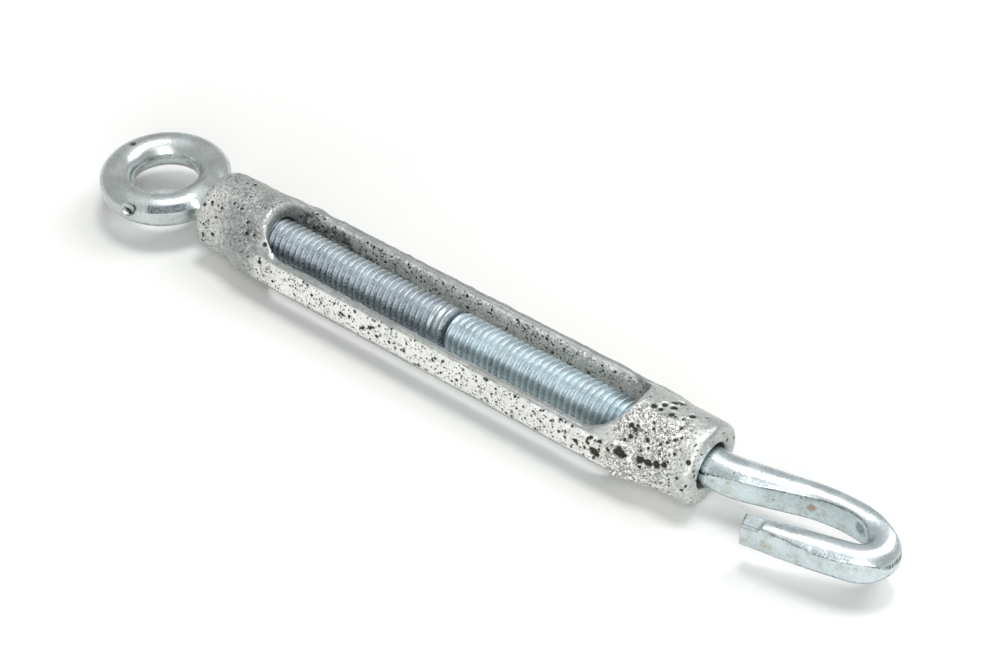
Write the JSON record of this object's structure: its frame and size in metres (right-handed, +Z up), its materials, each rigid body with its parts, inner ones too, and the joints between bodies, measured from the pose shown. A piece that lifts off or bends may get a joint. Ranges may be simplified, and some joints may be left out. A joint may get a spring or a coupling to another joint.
{
  "type": "hook and eye turnbuckle",
  "caption": "Open-frame turnbuckle: a cast frame of two rails, an eye bolt screwed into one end and an open hook bolt into the other, for tensioning a line.",
  "frame": {"origin": "centre of the hole in the eye bolt's ring", "axes": "+X along the screws from the eye to the hook, +Z up through the eye's hole, square to the plane of the two rails"},
  "size_m": [0.1691, 0.0244, 0.0148],
  "materials": {
    "frame": "hot-dip galvanised casting, smooth on the upper faces and coarsely pitted on the sides",
    "eye_bolt": "bright zinc plate with a bluish tint, rolled thread",
    "hook_bolt": "bright zinc plate with a bluish tint, die marks and small brown stains"
  },
  "bodies": {
    "frame": {"frame": "frame"},
    "eye_bolt": {"eye_bolt": "eye_bolt"},
    "hook_bolt": {"hook_bolt": "hook_bolt"}
  },
  "joints": [
    {"name": "hook_travel", "type": "slide", "parent": "frame", "child": "hook_bolt", "axis": [1, 0, 0], "range_m": [0, 0.03875]},
    {"name": "eye_travel", "type": "slide", "parent": "frame", "child": "eye_bolt", "axis": [-1, 0, 0], "range_m": [0, 0.03875]}
  ],
  "couplings": [
    {"joint": "eye_travel", "follows": "hook_travel", "ratio": 1}
  ]
}
